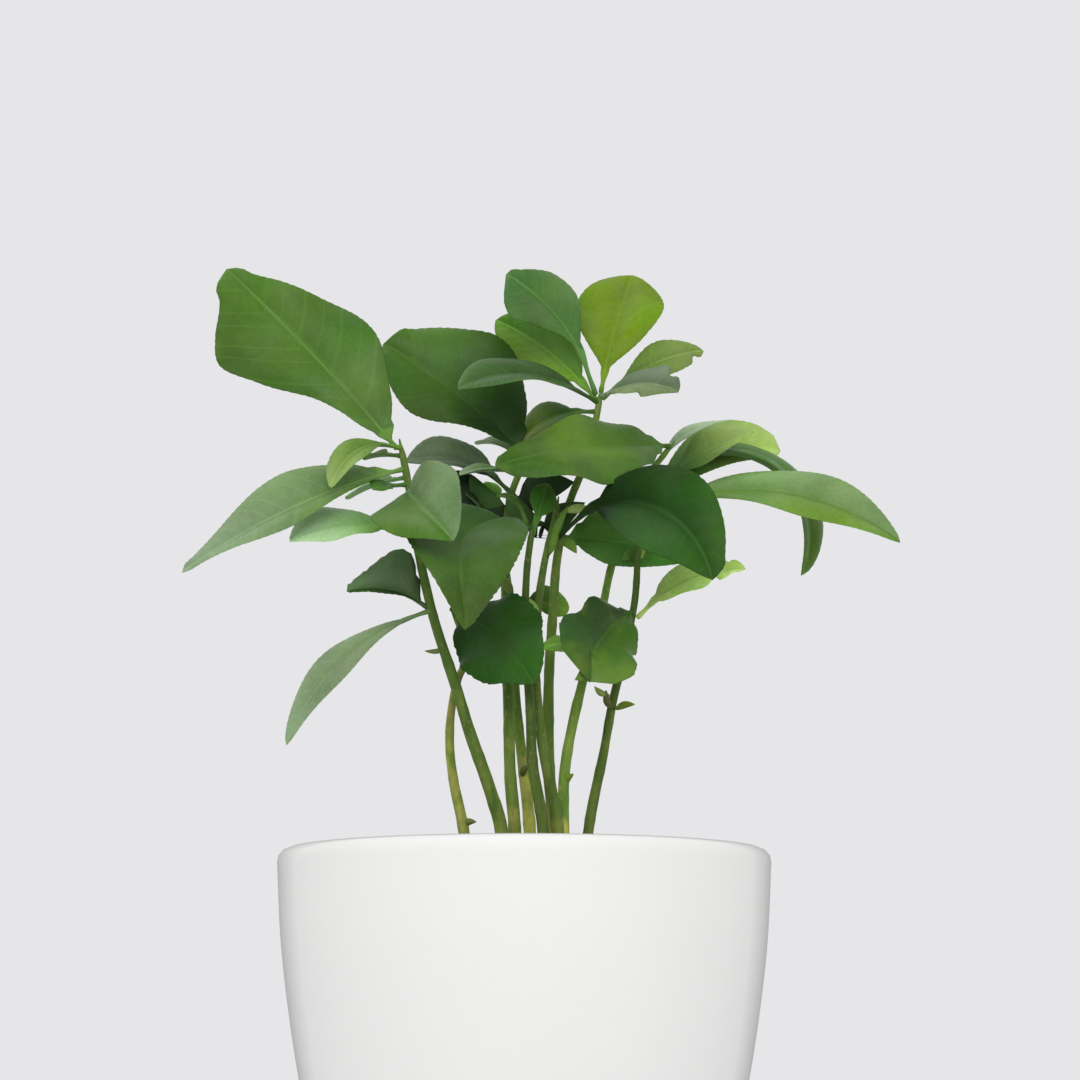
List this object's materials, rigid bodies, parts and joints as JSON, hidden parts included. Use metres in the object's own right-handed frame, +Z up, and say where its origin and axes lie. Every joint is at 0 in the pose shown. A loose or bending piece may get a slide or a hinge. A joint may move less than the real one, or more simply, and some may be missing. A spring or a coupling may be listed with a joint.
{
  "type": "potted pomelo seedlings",
  "caption": "Cluster of young pomelo trees with broad glossy leaves, growing from soil in a plain round white ceramic pot with a rounded lip and a flat foot.",
  "frame": {"origin": "middle of the pot's flat underside, on the surface that the pot stands on", "axes": "+Z up along the pot's axis, -Y towards the front of the plant, +X to its right"},
  "size_m": [0.1847, 0.13, 0.275],
  "materials": {
    "pot_ceramic": "matte white",
    "potting_soil": "crumbly dark peat mix",
    "stem_bark": "green bark, yellow-brown and woody at the foot",
    "leaf_blade": "semi-gloss green leaf, paler underneath"
  },
  "bodies": {
    "root": {"leaf_centre_broad": "leaf_blade", "leaf_far_left_low": "leaf_blade", "leaf_far_right_arched": "leaf_blade", "leaf_far_right_long": "leaf_blade", "leaf_far_right_notched": "leaf_blade", "leaf_far_right_pale": "leaf_blade", "leaf_far_right_torn": "leaf_blade", "leaf_far_right_upper": "leaf_blade", "leaf_left_arched": "leaf_blade", "leaf_left_back": "leaf_blade", "leaf_left_bud": "leaf_blade", "leaf_left_crown": "leaf_blade", "leaf_left_front": "leaf_blade", "leaf_left_grey": "leaf_blade", "leaf_left_hanging": "leaf_blade", "leaf_left_long": "leaf_blade", "leaf_left_small": "leaf_blade", "leaf_left_strap": "leaf_blade", "leaf_mid_front_heart": "leaf_blade", "leaf_mid_front_hook": "leaf_blade", "leaf_mid_front_upright": "leaf_blade", "leaf_mid_left_crown": "leaf_blade", "leaf_mid_left_curled": "leaf_blade", "leaf_mid_left_sliver": "leaf_blade", "leaf_mid_left_thin": "leaf_blade", "leaf_mid_round": "leaf_blade", "leaf_mid_shaded": "leaf_blade", "leaf_mid_small": "leaf_blade", "leaf_mid_upright": "leaf_blade", "leaf_right_stub": "leaf_blade", "leaf_right_thin": "leaf_blade", "leaf_right_wide": "leaf_blade", "leaf_tall_backlit": "leaf_blade", "leaf_tall_bright": "leaf_blade", "leaf_tall_brown": "leaf_blade", "leaf_tall_crown": "leaf_blade", "leaf_tall_dark": "leaf_blade", "leaf_tall_light": "leaf_blade", "leaf_tall_narrow": "leaf_blade", "leaf_tall_twisted": "leaf_blade", "pot": "pot_ceramic", "soil": "potting_soil", "stem_centre": "stem_bark", "stem_far_left": "stem_bark", "stem_far_right": "stem_bark", "stem_left": "stem_bark", "stem_mid": "stem_bark", "stem_mid_front": "stem_bark", "stem_mid_left": "stem_bark", "stem_right": "stem_bark", "stem_tall": "stem_bark"}
  },
  "joints": []
}
